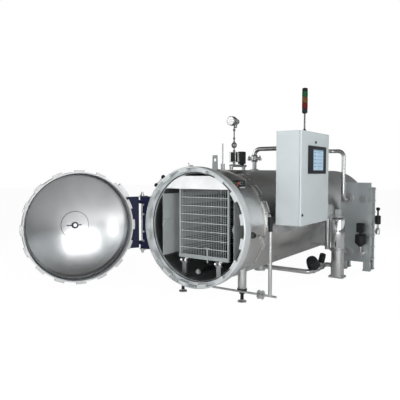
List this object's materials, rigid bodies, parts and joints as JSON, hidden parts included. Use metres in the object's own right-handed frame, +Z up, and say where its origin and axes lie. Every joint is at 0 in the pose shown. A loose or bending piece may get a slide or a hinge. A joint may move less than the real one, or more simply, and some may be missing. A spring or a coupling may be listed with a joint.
{
  "type": "autoclave",
  "caption": "Horizontal steam retort with a swung-open bayonet door, load rack, control cabinet, pump and plate heat exchanger on its side",
  "frame": {"origin": "middle of the part's bounding box, on the floor", "axes": "+Z up, +Y from the mouth along the vessel, +X towards the control cabinet's side"},
  "size_m": [2.8579, 6.4964, 2.604],
  "materials": {
    "stainless": "satin",
    "cladding": "satin",
    "polished": "polished",
    "navy_paint": "satin",
    "dark_paint": "satin",
    "cabinet_paint": "satin",
    "frame_steel": "satin",
    "rubber": "matte",
    "black_plastic": "matte",
    "screen_glass": "glossy",
    "white_plastic": "matte",
    "bronze": "satin"
  },
  "bodies": {
    "vessel": {"vessel_shell": "stainless", "front_flange": "stainless", "door_gasket": "rubber", "neck_cover": "cladding", "body_cladding": "cladding", "seam_band": "cladding", "rear_head": "stainless", "rear_cover": "cladding", "ring_slide_pads": "frame_steel", "hinge_bracket": "navy_paint", "hinge_pin": "stainless", "legs": "stainless", "levelling_feet": "dark_paint", "ceiling_tray": "white_plastic", "side_panels": "stainless", "rack_posts": "stainless", "rack_shelves": "stainless", "rack_front_grille": "stainless", "rack_tracks": "stainless", "track_rollers": "white_plastic", "steam_pipe": "stainless", "lifting_lugs": "dark_paint", "instrument_manifold": "stainless", "top_instruments": "dark_paint", "overhead_pipe": "polished", "riser_valve": "stainless", "safety_valve": "bronze", "control_cabinet": "cabinet_paint", "mounting_plate": "stainless", "cabinet_brackets": "stainless", "signal_tower": "black_plastic", "button_box": "white_plastic", "sight_port": "stainless", "exchanger_tie_bars": "stainless", "exchanger_plates": "frame_steel", "exchanger_pack": "stainless", "exchanger_ports": "stainless", "exchanger_feet": "frame_steel", "exchanger_valves": "black_plastic", "pump_casing": "stainless", "pump_motor_cover": "polished", "suction_pipe": "stainless", "angle_valves": "black_plastic", "discharge_pipe": "stainless", "level_standpipe": "stainless", "drain_pipe": "stainless", "tundish": "stainless"},
    "door": {"door_rim": "stainless", "door_lugs": "stainless", "door_head": "polished", "door_centre_pad": "stainless", "door_hinge_leaf": "navy_paint", "door_arm": "stainless"},
    "ring": {"locking_ring": "stainless", "ring_lugs": "stainless", "ring_lip": "stainless", "ring_hand_bar": "black_plastic"},
    "cabinet_door": {"cabinet_door": "cabinet_paint", "touch_screen": "screen_glass"}
  },
  "joints": [
    {"name": "door_swing", "type": "hinge", "parent": "vessel", "child": "door", "pos_m": [-0.68204, -1.88795, 0.915], "axis": [0, 0, 1], "range_deg": [-40, 116.5]},
    {"name": "ring_turn", "type": "hinge", "parent": "vessel", "child": "ring", "pos_m": [0.12596, -1.85695, 0.915], "axis": [0, 1, 0], "range_deg": [0, 11.25]},
    {"name": "cabinet_door_swing", "type": "hinge", "parent": "vessel", "child": "cabinet_door", "pos_m": [1.17696, -0.24595, 1.503], "axis": [0, 0, 1], "range_deg": [0, 110]}
  ]
}
